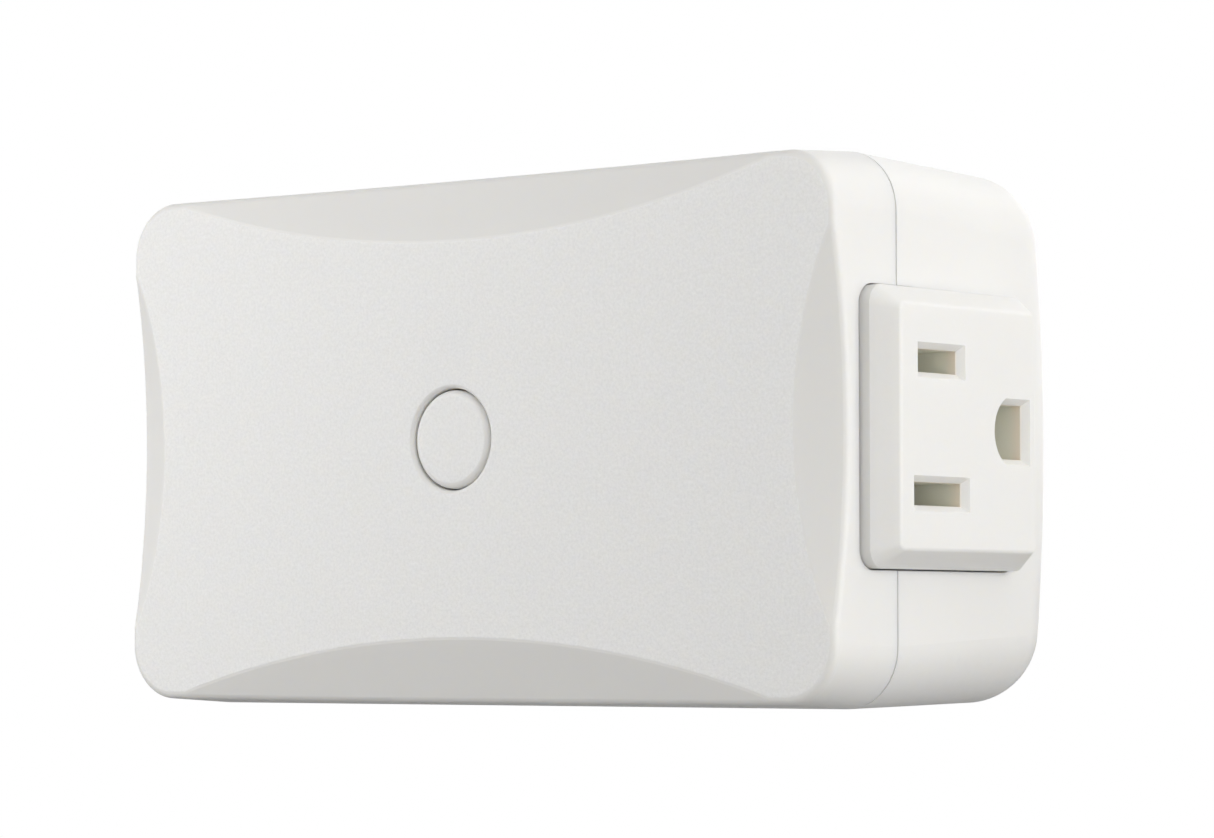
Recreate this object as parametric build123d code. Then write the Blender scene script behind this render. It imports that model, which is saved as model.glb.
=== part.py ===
from build123d import *
import os
from math import hypot

# Plug in dimmer. The origin is midway between the two flat plug blades, on the flat back face.
# X runs along the case, with the socket at the +X end. +Y points into the wall, so the front
# face looks along -Y. +Z is up. Depths are measured from the front face towards the wall.

os.makedirs("parts", exist_ok=True)

# Standard plug and socket pattern
blade_spacing = 12.7
ground_offset = 11.9
blade_thickness = 1.52
hot_blade_width = 6.35
neutral_blade_width = 7.9
blade_reach = 17.5
ground_pin_radius = 2.38
ground_pin_shank_radius = 2.2
ground_pin_root = 0.5
ground_pin_reach = 20.6
ground_tip_round = 1.5
ground_pin_board_gap = 0.6

# Case
body_length = 94.4
body_height = 53.7
body_depth = 39.4
wall = 2.2
seam_depth = 9.4
seam_gap = 0.16
seam_corner_radius = 6.0
front_corner_radius = 5.7
rear_corner_radius = 7.8
front_draft_inset = 0.56
rear_draft_inset = 0.4
end_crown = 2.0
rear_edge_round = 6.6
inner_edge_round = 4.8
front_edge_round = 0.8
overrun = 1.0

# Lip that locates the front cover on the rear housing
lip_height = 1.6
lip_thickness = 0.95
lip_clearance = 0.12

# Concave chamfers round the front face
side_scallop_width = 6.85
side_scallop_bow = 8.55
end_scallop_width = 5.35
end_scallop_bow = 9.09
scallop_fall = 8.8
scallop_run = 21.0

# Button
button_x = -1.25
button_hole_radius = 5.16
button_hole_round = 0.45
button_gap = 0.17
button_recess = 0.08
button_round = 0.7
button_travel = 0.35
button_flange_gap = 0.12
button_flange_width = 1.4
button_flange_thickness = 0.9
button_stem_radius = 1.7
button_stem_gap = 0.1

# Receptacle face
face_raise = 3.2
face_side_height = 0.8
face_bevel_width = 1.78
face_width = 22.55
face_height = 23.4
face_place_share = 0.428
face_base_corner = 1.9
face_top_corner = 0.7
face_edge_round = 0.45
face_window_gap = 0.14
face_flange_width = 1.5
face_flange_thickness = 2.1
face_flange_gap = 1.05
slot_width = 2.22
hot_slot_length = 6.7
neutral_slot_length = 8.1
slot_inset = 4.64
ground_hole_height = 5.3
ground_hole_length = 4.95
ground_hole_arc_rise = 1.4
funnel_width = 0.6
funnel_depth = 0.78

# Socket block and its contacts
socket_length = 15.4
socket_height = 23.0
socket_front_margin = 6.4
socket_back_margin = 5.0
chamber_length = 12.4
ground_chamber_length = 14.2
chamber_clearance = 0.5
chamber_side_room = 1.1
contact_thickness = 0.5
contact_width = 6.0
contact_length = 10.5
ground_contact_length = 13.2
contact_pinch = 1.3
contact_flare = 3.4
contact_mouth_gap = 0.2
contact_back = 2.6
contact_flare_length = 2.2
ground_contact_pinch = 4.3
ground_contact_flare = 5.6
tail_width = 3.0
tail_clearance = 0.3
cradle_rib_thickness = 1.6
cradle_rib_length = 10.0
cradle_rib_spacing = 15.0
cradle_rib_inset = 2.5
wire_radius = 1.0
wire_bend = 3.5
wire_run = 6.0
wire_board_gap = 0.4
ground_wire_bend = 2.4
ground_wire_run_shares = (0.5, 0.68)
wire_end_gap = 0.15

# Screws that close the case
boss_inset_x = 9.2
boss_inset_z = 5.9
boss_radius = 3.9
front_boss_radius = 3.0
screw_seat_depth = 15.0
screw_length = 11.0
screw_radius = 1.3
screw_head_radius = 2.6
screw_head_height = 1.8
screw_clearance = 0.15
screw_head_clearance = 0.3
pilot_clearance = 0.03
screw_tip_gap = 0.8
drive_recess_width = 0.7
drive_recess_length = 2.6
drive_recess_depth = 1.0

# Recess for a rating plate, left bare
plate_recess_length = 20.0
plate_recess_height = 24.0
plate_recess_depth = 0.3
plate_recess_x = -24.0
plate_recess_corner = 1.5

# Plug carrier
carrier_length = 27.0
carrier_height = 23.0
carrier_thickness = 7.4
carrier_leg_size = 3.0
carrier_leg_height = 4.2
carrier_round = 1.0
blade_fit = 0.1
blade_tail_width = 3.0
blade_tail_end_gap = 1.2
blade_hole_radius = 1.55
blade_hole_inset = 4.1
blade_tip_chamfer = 0.5
blade_corner_chamfer = 1.0

# Power board
power_board_thickness = 1.6
power_board_end_gap = 11.4
power_board_side_gap = 2.65
board_socket_gap = 0.85
board_hole_inset_x = 2.9
board_hole_inset_z = 3.6
post_radius = 2.5
board_screw_radius = 1.0
board_screw_length = 6.0
board_screw_head_radius = 2.0
board_screw_head_height = 1.3

# Control board
control_board_depth = 8.6
control_board_thickness = 1.2
control_board_end_gap = 15.0
control_board_side_gap = 8.65

# Push switch
switch_size = 6.0
switch_height = 3.3
plunger_radius = 1.6
plunger_out = 0.7
plunger_in = 0.9
plunger_gap = 0.15
plunger_back_gap = 0.2

# Indicator
led_x = -0.7
led_z_share = 0.376
led_length = 3.2
led_width = 1.6
led_height = 1.1
pipe_radius = 1.1
pipe_skin = 0.8
pipe_socket_radius = 1.9
pipe_socket_length = 2.6
pipe_fit = 0.05

# Radio
radio_x_share = 0.216
radio_length = 16.0
radio_width = 12.0
radio_thickness = 0.8
shield_length = 11.5
shield_width = 9.6
shield_height = 1.7
shield_wall = 0.25
shield_shift = 1.6
antenna_radius = 0.4
antenna_out = 8.5
antenna_up = 10.5
antenna_bend = 3.0
chip_x_share = 0.72
chip_size = 7.0
chip_height = 1.0

# Header between the boards
header_x_share = 0.76
header_edge_gap = 3.0
header_pins_count = 5
header_pitch = 2.54
header_pin_size = 0.64
header_base_height = 2.5
header_pin_out = 0.9
header_hole_radius = 0.55

# Dimming element and its cooler
heat_sink_left_gap = 5.6
heat_sink_right_gap = 7.6
heat_sink_side_gap = 2.55
heat_sink_thickness = 1.5
heat_sink_past_board = 2.0
triac_x_share = 0.432
triac_width = 10.2
triac_tab_margin = 0.3
triac_body_thickness = 4.4
triac_tab_thickness = 1.3
triac_tab_share = 0.322
triac_leg_share = 0.152
triac_leg_width = 0.8
triac_leg_thickness = 0.5
triac_leg_pitch = 2.54
tab_screw_radius = 1.4
tab_screw_head_radius = 2.5
tab_screw_head_height = 1.6
tab_screw_end = 0.5

# Choke
choke_x_share = 0.223
choke_z_share = 0.345
choke_outer_radius = 7.6
choke_inner_radius = 4.2
choke_height_share = 0.4225
winding_thickness = 0.8
winding_angle = 300.0

# Smaller parts on the power board
film_x_share = 0.23
film_z_share = -0.527
film_length = 17.5
film_width = 8.0
film_height_share = 0.775
film_round = 0.6
electrolytic_x_share = 0.57
electrolytic_z_share = -0.636
electrolytic_radius = 5.0
electrolytic_height_share = 0.88
electrolytic_groove = 0.5
electrolytic_groove_place = 1.8
varistor_x_share = 0.755
varistor_z_share = -0.7
varistor_radius_share = 0.317
varistor_thickness = 3.6
varistor_stand = 0.8
varistor_leg_radius = 0.35
varistor_leg_share = 0.55
rectifier_x_share = 0.483
rectifier_z_share = 0.023
rectifier_length = 6.5
rectifier_width = 5.0
rectifier_height = 2.6
fuse_z_share = 0.418
fuse_length = 8.6
fuse_radius = 2.2
fuse_cap_length = 2.2
fuse_cap_wall = 0.3
transformer_x_share = 0.735
transformer_z_share = -0.073
transformer_length_share = 0.203
transformer_width = 11.0
transformer_height_share = 0.704
transformer_core_share = 0.24

# Sizes that follow from the ones above
half_length = body_length / 2
half_height = body_height / 2
body_z = -ground_offset / 2
blade_z = ground_offset / 2
back_wall_depth = body_depth - wall
side_scallop_reach = half_height - side_scallop_width
side_scallop_radius = (half_length**2 + side_scallop_bow**2) / (2 * side_scallop_bow)
end_scallop_reach = half_length - end_scallop_width
end_scallop_radius = (half_height**2 + end_scallop_bow**2) / (2 * end_scallop_bow)
face_x = half_length + face_raise
face_side_x = half_length + face_side_height
face_flange_x = half_length - wall - face_flange_gap
socket_x = face_flange_x - face_flange_thickness
socket_end_x = socket_x - socket_length
base_width = face_width + 2 * face_bevel_width
base_height = face_height + 2 * face_bevel_width
face_depth_centre = body_depth * face_place_share
slot_depth = face_depth_centre - slot_inset
ground_depth = slot_depth + ground_offset
slot_z = blade_spacing / 2
socket_front = slot_depth - socket_front_margin
socket_back = ground_depth + socket_back_margin
cradle_x = socket_x - cradle_rib_inset - cradle_rib_length / 2
contact_mouth_x = socket_x - contact_mouth_gap
tail_end_x = socket_end_x - contact_thickness
tail_shift = (contact_width - tail_width) / 2
carrier_depth = back_wall_depth - carrier_thickness
power_board_back = carrier_depth - carrier_leg_height
power_board_depth = power_board_back - power_board_thickness
power_board_left = power_board_end_gap + wall - half_length
power_board_right = socket_end_x - board_socket_gap
power_board_length = power_board_right - power_board_left
power_board_half = half_height - wall - power_board_side_gap
control_board_back = control_board_depth + control_board_thickness
control_board_left = control_board_end_gap + wall - half_length
control_board_right = power_board_right
control_board_length = control_board_right - control_board_left
control_board_half = half_height - wall - control_board_side_gap
board_room = power_board_depth - control_board_back
radio_x = control_board_left + radio_x_share * control_board_length
chip_x = control_board_left + chip_x_share * control_board_length
header_x = power_board_left + header_x_share * power_board_length
header_z = control_board_half - header_edge_gap
ground_wire_depth = power_board_back + wire_radius + wire_board_gap
cover_back = seam_depth - seam_gap
button_radius = button_hole_radius - button_gap
button_flange_depth = wall + button_flange_gap
button_flange_back = button_flange_depth + button_flange_thickness
led_z = led_z_share * half_height
switch_depth = control_board_depth - switch_height
plunger_depth = switch_depth - plunger_out
heat_sink_depth = control_board_depth - heat_sink_past_board
heat_sink_z = half_height - wall - heat_sink_side_gap - heat_sink_thickness
heat_sink_left = power_board_left + heat_sink_left_gap
heat_sink_right = power_board_right - heat_sink_right_gap
tab_depth = heat_sink_depth + triac_tab_margin
triac_tab_height = triac_tab_share * (power_board_depth - tab_depth)
triac_leg_length = triac_leg_share * (power_board_depth - tab_depth)
triac_depth = tab_depth + triac_tab_height
triac_x = power_board_left + triac_x_share * power_board_length
choke_height = choke_height_share * board_room
film_height = film_height_share * board_room
electrolytic_height = electrolytic_height_share * board_room
varistor_radius = varistor_radius_share * board_room
transformer_height = transformer_height_share * board_room
transformer_length = transformer_length_share * power_board_length
transformer_core_wall = transformer_core_share * transformer_height
boss_x = half_length - boss_inset_x
boss_z = half_height - boss_inset_z
boss_places = [(x, z) for x in (-boss_x, boss_x) for z in (-boss_z, boss_z)]


def y_at(depth):
    """Y of a plane at one depth behind the front face."""
    return depth - body_depth


def front_plane(depth):
    """Plane parallel to the front face. Local x is X, and local y is Z from the case's middle."""
    return Plane(origin=(0, y_at(depth), body_z), x_dir=(1, 0, 0), z_dir=(0, -1, 0))


def end_plane(x):
    """Plane parallel to the end walls. Local x is the depth, and local y is Z from the middle."""
    return Plane(origin=(x, y_at(0), body_z), x_dir=(0, 1, 0), z_dir=(1, 0, 0))


def slab(outline, front, back):
    """Solid from one depth to another, of an outline drawn parallel to the front face."""
    return extrude(front_plane(back) * outline, back - front)


def end_slab(outline, inner, outer):
    """Solid from one X to another, of an outline drawn parallel to the end walls."""
    return extrude(end_plane(inner) * outline, outer - inner)


def post(x, z, radius, front, back):
    """Round post square to the front face."""
    return slab(Pos(x, z) * Circle(radius), front, back)


def block(x, z, length, height, front, back):
    """Rectangular block centred on X and Z."""
    return slab(Pos(x, z) * Rectangle(length, height), front, back)


def save(node, solid):
    """Writes one node's STEP file."""
    solid.label = node
    export_step(solid, f"parts/{node}.step")


def save_group(node, solids):
    """Writes one node made of several separate solids."""
    save(node, Compound(children=[piece for item in solids for piece in item.solids()]))


def case_face(depth, inset):
    """Outline of the case at one depth, drawn in by inset."""
    front_share = max(seam_depth - depth, 0) / seam_depth
    rear_share = max(depth - seam_depth, 0) / (body_depth - seam_depth)
    draft = front_draft_inset * front_share + rear_draft_inset * rear_share
    half_x = half_length - draft - inset
    half_z = half_height - draft - inset
    corner_x = half_x - end_crown * rear_share
    corner = seam_corner_radius + (front_corner_radius - seam_corner_radius) * front_share
    corner += (rear_corner_radius - seam_corner_radius) * rear_share
    top = Line((-corner_x, half_z), (corner_x, half_z))
    bottom = Line((corner_x, -half_z), (-corner_x, -half_z))
    if rear_share > 0:
        right = ThreePointArc((corner_x, half_z), (half_x, 0), (corner_x, -half_z))
        left = ThreePointArc((-corner_x, -half_z), (-half_x, 0), (-corner_x, half_z))
    else:
        right = Line((corner_x, half_z), (corner_x, -half_z))
        left = Line((-corner_x, -half_z), (-corner_x, half_z))
    outline = make_face([top, right, bottom, left])
    outline = fillet(outline.vertices(), corner - inset)
    return front_plane(depth) * outline


def case_solid(front, back, inset):
    """Solid between two depths of the case, drawn in by inset."""
    return loft([case_face(front, inset), case_face(back, inset)], ruled=True)


def scallop(reach, radius, span, turn, back):
    """Oblique prism that slices one concave chamfer off the front edge."""
    low = reach - (overrun + back) * scallop_run / scallop_fall
    side = low + radius - (radius**2 - span**2) ** 0.5
    arc = ThreePointArc((-span, side), (0, low), (span, side))
    lid = Polyline((span, side), (span, side + span), (-span, side + span), (-span, side))
    region = front_plane(-overrun) * make_face([arc, lid])
    tool = extrude(region, hypot(scallop_fall, scallop_run), dir=(0, scallop_fall, scallop_run))
    middle = Pos(0, 0, body_z)
    return middle * Rot(0, turn, 0) * middle.inverse() * tool


def cut_scallops(solid, back):
    """Cuts the four concave chamfers, set back from the front face by back."""
    side_span = half_length + wall
    end_span = half_height + wall
    for turn in (0, 180):
        solid -= scallop(side_scallop_reach, side_scallop_radius, side_span, turn, back)
    for turn in (90, 270):
        solid -= scallop(end_scallop_reach, end_scallop_radius, end_span, turn, back)
    return solid


def board_place(x_share, z_share):
    """Point of the power board at a share of its length, and of its half height from its middle."""
    return power_board_left + x_share * power_board_length, z_share * power_board_half


def power_holes():
    """Centres of the power board's screw holes."""
    half = power_board_half - board_hole_inset_z
    left = power_board_left + board_hole_inset_x
    right = power_board_right - board_hole_inset_x
    return [(x, z) for x in (left, right) for z in (-half, half)]


def control_holes():
    """Centres of the control board's screw holes."""
    half = control_board_half - board_hole_inset_z
    left = control_board_left + board_hole_inset_x
    right = control_board_right - board_hole_inset_x
    return [(x, z) for x in (left, right) for z in (-half, half)]


def face_outline(width, height, corner):
    """Rounded rectangle round the receptacle face's centre."""
    return Pos(face_depth_centre, 0) * RectangleRounded(width, height, corner)


def face_window():
    """Cut-out in the end wall that the receptacle face stands in."""
    gap = face_window_gap
    outline = face_outline(base_width + 2 * gap, base_height + 2 * gap, face_base_corner + gap)
    return end_slab(outline, socket_x - overrun, face_x)


def front_cover():
    """Front shell with its chamfers, bosses, posts and button hole."""
    shell = case_solid(0, cover_back, 0)
    shell = fillet(shell.faces().sort_by(Axis.Y)[0].edges(), front_edge_round)
    shell = cut_scallops(shell, 0)
    low = y_at(front_edge_round)
    high = y_at(cover_back - front_edge_round)
    rims = ShapeList([edge for edge in shell.edges() if low < edge.center().Y < high])
    shell = fillet(rims.sort_by(SortBy.LENGTH)[-4:], front_edge_round)
    slope_share = hypot(scallop_fall, scallop_run) / scallop_run
    shell -= cut_scallops(case_solid(wall, seam_depth, wall), wall * slope_share)
    rebate = case_face(seam_depth, wall - lip_thickness - lip_clearance)
    shell -= extrude(rebate, lip_height + lip_clearance)
    for x, z in boss_places:
        shell += post(x, z, front_boss_radius, wall / 2, cover_back)
    for x, z in control_holes():
        shell += post(x, z, post_radius, wall / 2, control_board_depth)
    shell += post(led_x, led_z, pipe_socket_radius, wall / 2, wall + pipe_socket_length)
    for side in (-1, 1):
        rib_z = side * cradle_rib_spacing / 2
        shell += block(cradle_x, rib_z, cradle_rib_length, cradle_rib_thickness, wall / 2, socket_front)
    for x, z in boss_places:
        tip = screw_seat_depth - screw_length - screw_tip_gap
        shell -= post(x, z, screw_radius + pilot_clearance, tip, seam_depth)
    for x, z in control_holes():
        tip = control_board_back - board_screw_length - screw_tip_gap
        shell -= post(x, z, board_screw_radius + pilot_clearance, tip, seam_depth)
    shell -= post(led_x, led_z, pipe_radius + pipe_fit, pipe_skin, seam_depth)
    shell -= face_window()
    shell -= post(button_x, 0, button_hole_radius, -overrun, wall + overrun)
    button_centre = (button_x, y_at(0), body_z)
    rim = shell.edges().filter_by(GeomType.CIRCLE).sort_by_distance(button_centre)[0]
    return fillet(rim, button_hole_round)


def blade_slots(pin_radius, front, back):
    """Passages for the two blades and a round pin, from one depth to another."""
    width = blade_thickness + 2 * blade_fit
    slots = block(-blade_spacing / 2, blade_z, width, neutral_blade_width + 2 * blade_fit, front, back)
    slots += block(blade_spacing / 2, blade_z, width, hot_blade_width + 2 * blade_fit, front, back)
    slots += post(0, -blade_z, pin_radius + blade_fit, front, back)
    return slots


def rear_housing():
    """Rear shell with its locating lip, screw bosses, board posts and blade slots."""
    outer = case_solid(seam_depth, body_depth, 0)
    outer = fillet(outer.faces().sort_by(Axis.Y)[-1].edges(), rear_edge_round)
    cavity = case_solid(seam_depth, back_wall_depth, wall)
    cavity = fillet(cavity.faces().sort_by(Axis.Y)[-1].edges(), inner_edge_round)
    shell = outer - cavity
    ring = case_face(seam_depth, wall - lip_thickness) - case_face(seam_depth, wall)
    shell += extrude(ring, lip_height)
    for x, z in boss_places:
        shell += post(x, z, boss_radius, seam_depth, body_depth) & outer
    for x, z in power_holes():
        shell += post(x, z, post_radius, power_board_back, back_wall_depth + wall / 2)
    for side in (-1, 1):
        rib_z = side * cradle_rib_spacing / 2
        rib_back = back_wall_depth + wall / 2
        shell += block(cradle_x, rib_z, cradle_rib_length, cradle_rib_thickness, socket_back, rib_back)
    for x, z in boss_places:
        shell -= post(x, z, screw_radius + screw_clearance, 0, screw_seat_depth)
        head_room = screw_head_radius + screw_head_clearance
        shell -= post(x, z, head_room, screw_seat_depth, body_depth + overrun)
    for x, z in power_holes():
        tip = power_board_depth + board_screw_length + screw_tip_gap
        shell -= post(x, z, board_screw_radius + pilot_clearance, 0, tip)
    shell -= face_window()
    shell -= blade_slots(ground_pin_radius, back_wall_depth - overrun, body_depth + overrun)
    recess = RectangleRounded(plate_recess_length, plate_recess_height, plate_recess_corner)
    recess_front = body_depth - plate_recess_depth
    shell -= slab(Pos(plate_recess_x, 0) * recess, recess_front, body_depth + overrun)
    return shell


def ground_outline(grow):
    """The ground hole: curved towards the blades, flat on the far side."""
    half = ground_hole_height / 2 + grow
    far = ground_hole_length / 2 + grow
    corner = -ground_hole_length / 2 + ground_hole_arc_rise
    arc = ThreePointArc((corner, half), (-far, 0), (corner, -half))
    flat = Polyline((corner, -half), (far, -half), (far, half), (corner, half))
    return Pos(ground_depth, 0) * make_face([arc, flat])


def slot_outline(length, z, grow):
    """One blade slot of the receptacle face."""
    return Pos(slot_depth, z) * Rectangle(length + 2 * grow, slot_width + 2 * grow)


def funnel(inner, outer):
    """Lead-in round one opening of the receptacle face."""
    return loft([end_plane(face_x - funnel_depth) * inner, end_plane(face_x) * outer], ruled=True)


def receptacle_face():
    """Bevelled plate with two blade slots and a ground hole, held behind the end wall by a flange."""
    base = face_outline(base_width, base_height, face_base_corner)
    top = face_outline(face_width, face_height, face_top_corner)
    plate = end_slab(base, socket_x, face_side_x)
    bevel = loft([end_plane(face_side_x) * base, end_plane(face_x) * top], ruled=True)
    bevel = fillet(bevel.faces().sort_by(Axis.X)[-1].edges(), face_edge_round)
    plate += bevel
    flange_width = base_width + face_flange_width
    flange_height = base_height + 2 * face_flange_width
    flange = Rectangle(flange_width, flange_height)
    plate += end_slab(Pos(face_depth_centre + face_flange_width / 2, 0) * flange, socket_x, face_flange_x)
    openings = [(hot_slot_length, slot_z), (neutral_slot_length, -slot_z)]
    for length, z in openings:
        inner = slot_outline(length, z, 0)
        plate -= end_slab(inner, socket_x - overrun, face_x)
        plate -= funnel(inner, slot_outline(length, z, funnel_width))
    plate -= end_slab(ground_outline(0), socket_x - overrun, face_x)
    plate -= funnel(ground_outline(0), ground_outline(funnel_width))
    return plate


def button_cap():
    """Round button with a retaining flange and a stem that meets the switch."""
    cap = post(button_x, 0, button_radius, button_recess, button_flange_depth)
    cap = fillet(cap.faces().sort_by(Axis.Y)[0].edges(), button_round)
    flange_radius = button_radius + button_flange_width
    cap += post(button_x, 0, flange_radius, button_flange_depth, button_flange_back)
    cap += post(button_x, 0, button_stem_radius, button_flange_back, plunger_depth - button_stem_gap)
    return cap


def flat_blade(x, width):
    """One flat blade: a drilled contact outside, and a narrow soldering tail inside."""
    blade = block(x, blade_z, blade_thickness, width, carrier_depth, body_depth + blade_reach)
    corners = blade.edges().filter_by(Axis.X).group_by(Axis.Y)[-1]
    blade = chamfer(corners, blade_corner_chamfer)
    sides = blade.faces().sort_by(Axis.Y)[-1].edges().filter_by(Axis.Z)
    blade = chamfer(sides, blade_tip_chamfer)
    hole_y = blade_reach - blade_hole_inset
    hole = Pos(x, hole_y, 0) * Rot(0, 90, 0) * Cylinder(blade_hole_radius, 2 * blade_thickness)
    tail_front = power_board_depth - blade_tail_end_gap
    tail = block(x, blade_z, blade_thickness, blade_tail_width, tail_front, carrier_depth)
    return blade - hole + tail


def ground_pin():
    """Round ground pin with a rounded tip, on a slimmer shank that passes through the case."""
    front = power_board_back + ground_pin_board_gap
    root = body_depth + ground_pin_root
    pin = post(0, -blade_z, ground_pin_radius, root, body_depth + ground_pin_reach)
    pin = fillet(pin.faces().sort_by(Axis.Y)[-1].edges(), ground_tip_round)
    return pin + post(0, -blade_z, ground_pin_shank_radius, front, root)


def blade_carrier():
    """Insulating block that holds the blades between the back wall and the power board."""
    outline = RectangleRounded(carrier_length, carrier_height, carrier_round)
    carrier = slab(outline, carrier_depth, back_wall_depth)
    leg_x = (carrier_length - carrier_leg_size) / 2 - carrier_round
    leg_z = (carrier_height - carrier_leg_size) / 2 - carrier_round
    for x in (-leg_x, leg_x):
        for z in (-leg_z, leg_z):
            carrier += block(x, z, carrier_leg_size, carrier_leg_size, power_board_back, carrier_depth)
    return carrier - blade_slots(ground_pin_shank_radius, carrier_depth - overrun, body_depth)


def socket_body():
    """Insulating block behind the receptacle face, with a chamber for each contact."""
    depth = (socket_front + socket_back) / 2
    outline = Pos(depth, 0) * Rectangle(socket_back - socket_front, socket_height)
    body = end_slab(outline, socket_end_x, socket_x)
    chamber_x = socket_x - chamber_length
    blade_room = neutral_slot_length + 2 * chamber_clearance
    blade_height = contact_flare + 2 * contact_thickness + 2 * chamber_side_room
    ground_room = ground_hole_height + 2 * chamber_clearance
    ground_height = ground_contact_flare + 2 * contact_thickness + 2 * chamber_side_room
    tail = Rectangle(tail_width + tail_clearance, contact_thickness + tail_clearance)
    for z in (-slot_z, slot_z):
        body -= end_slab(Pos(slot_depth, z) * Rectangle(blade_room, blade_height), chamber_x, socket_x)
        body -= end_slab(Pos(slot_depth + tail_shift, z) * tail, socket_end_x, socket_x)
    ground_chamber = Pos(ground_depth, 0) * Rectangle(ground_room, ground_height)
    body -= end_slab(ground_chamber, socket_x - ground_chamber_length, socket_x)
    body -= end_slab(Pos(ground_depth + tail_shift, 0) * tail, socket_end_x, socket_x)
    return body


def contact(depth, z, length, pinch, flare, back):
    """Folded strip whose two leaves grip a blade or pin, with a tail towards the boards."""
    half = contact_thickness / 2
    bend_x = contact_mouth_x - contact_flare_length
    web_x = contact_mouth_x - length
    upper = [(contact_mouth_x, flare / 2 + half), (bend_x, pinch / 2 + half)]
    upper.append((web_x, back / 2 + half))
    lower = [(x, -height) for x, height in reversed(upper)]
    strip = trace(Polyline(*upper, *lower), line_width=contact_thickness)
    front = depth - contact_width / 2
    clip = slab(Pos(0, z) * strip, front, front + contact_width)
    tail = Pos(depth + tail_shift, z) * Rectangle(tail_width, contact_thickness)
    return clip + end_slab(tail, tail_end_x, web_x)


def wire(points, bend):
    """Insulated wire along a bent route given as X, depth and Z from the case's middle."""
    route = [(x, y_at(depth), z + body_z) for x, depth, z in points]
    path = FilletPolyline(*route, radius=bend)
    start = Plane(origin=path @ 0, z_dir=path % 0)
    return sweep(start * Circle(wire_radius), path=path)


def blade_wire(z):
    """Lead from a blade contact's tail to the front of the power board."""
    depth = slot_depth + tail_shift
    turn_x = tail_end_x - wire_run
    return wire([(tail_end_x, depth, z), (turn_x, depth, z), (turn_x, power_board_depth, z)], wire_bend)


def ground_wire():
    """Lead behind the power board, from the ground contact's tail to the ground pin."""
    depth = ground_wire_depth
    end_x = ground_pin_shank_radius + wire_end_gap
    first_x, second_x = [tail_end_x - share * (tail_end_x - end_x) for share in ground_wire_run_shares]
    points = [(tail_end_x, depth, 0), (first_x, depth, 0)]
    points += [(second_x, depth, -blade_z), (end_x, depth, -blade_z)]
    return wire(points, ground_wire_bend)


def header_places():
    """Centres of the header's pins."""
    first = header_x - header_pitch * (header_pins_count - 1) / 2
    return [(first + index * header_pitch, header_z) for index in range(header_pins_count)]


def power_board():
    """Board behind the larger parts, with slots for the blade tails."""
    middle = (power_board_left + power_board_right) / 2
    size = (power_board_length, 2 * power_board_half)
    board = block(middle, 0, *size, power_board_depth, power_board_back)
    for x, z in power_holes():
        hole = board_screw_radius + screw_clearance
        board -= post(x, z, hole, power_board_depth, power_board_back)
    width = blade_thickness + 2 * tail_clearance
    height = blade_tail_width + 2 * tail_clearance
    for side in (-1, 1):
        slot_x = side * blade_spacing / 2
        board -= block(slot_x, blade_z, width, height, power_board_depth, power_board_back)
    for x, z in header_places():
        board -= post(x, z, header_hole_radius, power_board_depth, power_board_back)
    return board


def control_board():
    """Board behind the front cover that carries the switch and the indicator."""
    middle = (control_board_left + control_board_right) / 2
    size = (control_board_length, 2 * control_board_half)
    board = block(middle, 0, *size, control_board_depth, control_board_back)
    for x, z in control_holes():
        hole = board_screw_radius + screw_clearance
        board -= post(x, z, hole, control_board_depth, control_board_back)
    for x, z in header_places():
        board -= post(x, z, header_hole_radius, control_board_depth, control_board_back)
    return board


def header_base():
    """Plastic strip that holds the header's pins on the power board."""
    length = header_pins_count * header_pitch
    front = power_board_depth - header_base_height
    base = block(header_x, header_z, length, header_pitch, front, power_board_depth)
    for x, z in header_places():
        base -= block(x, z, header_pin_size, header_pin_size, front, power_board_depth)
    return base


def header_pins():
    """Square pins that join the two boards."""
    front = control_board_depth - header_pin_out
    back = power_board_back + header_pin_out
    return [block(x, z, header_pin_size, header_pin_size, front, back) for x, z in header_places()]


def cross_recess(x, z, head, back_to_front):
    """Cross-shaped drive recess in a screw head, seen from the side that the screw is driven from."""
    far = head + back_to_front * drive_recess_depth
    front, back = min(head, far), max(head, far)
    recess = block(x, z, drive_recess_width, drive_recess_length, front, back)
    return recess + block(x, z, drive_recess_length, drive_recess_width, front, back)


def housing_screws():
    """Screws driven from the back through the rear bosses into the front cover."""
    screws = []
    for x, z in boss_places:
        head_back = screw_seat_depth + screw_head_height
        screw = post(x, z, screw_head_radius, screw_seat_depth, head_back)
        screw += post(x, z, screw_radius, screw_seat_depth - screw_length, screw_seat_depth)
        screws.append(screw - cross_recess(x, z, head_back, -1))
    return screws


def power_board_screws():
    """Screws driven from the front into the rear housing's posts."""
    screws = []
    for x, z in power_holes():
        head_front = power_board_depth - board_screw_head_height
        screw = post(x, z, board_screw_head_radius, head_front, power_board_depth)
        shank_end = power_board_depth + board_screw_length
        screw += post(x, z, board_screw_radius, power_board_depth, shank_end)
        screws.append(screw - cross_recess(x, z, head_front, 1))
    return screws


def control_board_screws():
    """Screws driven from the back into the front cover's posts."""
    screws = []
    for x, z in control_holes():
        head_back = control_board_back + board_screw_head_height
        screw = post(x, z, board_screw_head_radius, control_board_back, head_back)
        shank_end = control_board_back - board_screw_length
        screw += post(x, z, board_screw_radius, shank_end, control_board_back)
        screws.append(screw - cross_recess(x, z, head_back, -1))
    return screws


def switch_body():
    """Case of the push switch, with the bore that its plunger slides in."""
    body = block(button_x, 0, switch_size, switch_size, switch_depth, control_board_depth)
    bore_back = switch_depth + plunger_in + button_travel + plunger_back_gap
    return body - post(button_x, 0, plunger_radius + plunger_gap, switch_depth, bore_back)


def switch_plunger():
    """Plunger between the button's stem and the switch's inside."""
    return post(button_x, 0, plunger_radius, plunger_depth, switch_depth + plunger_in)


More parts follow.
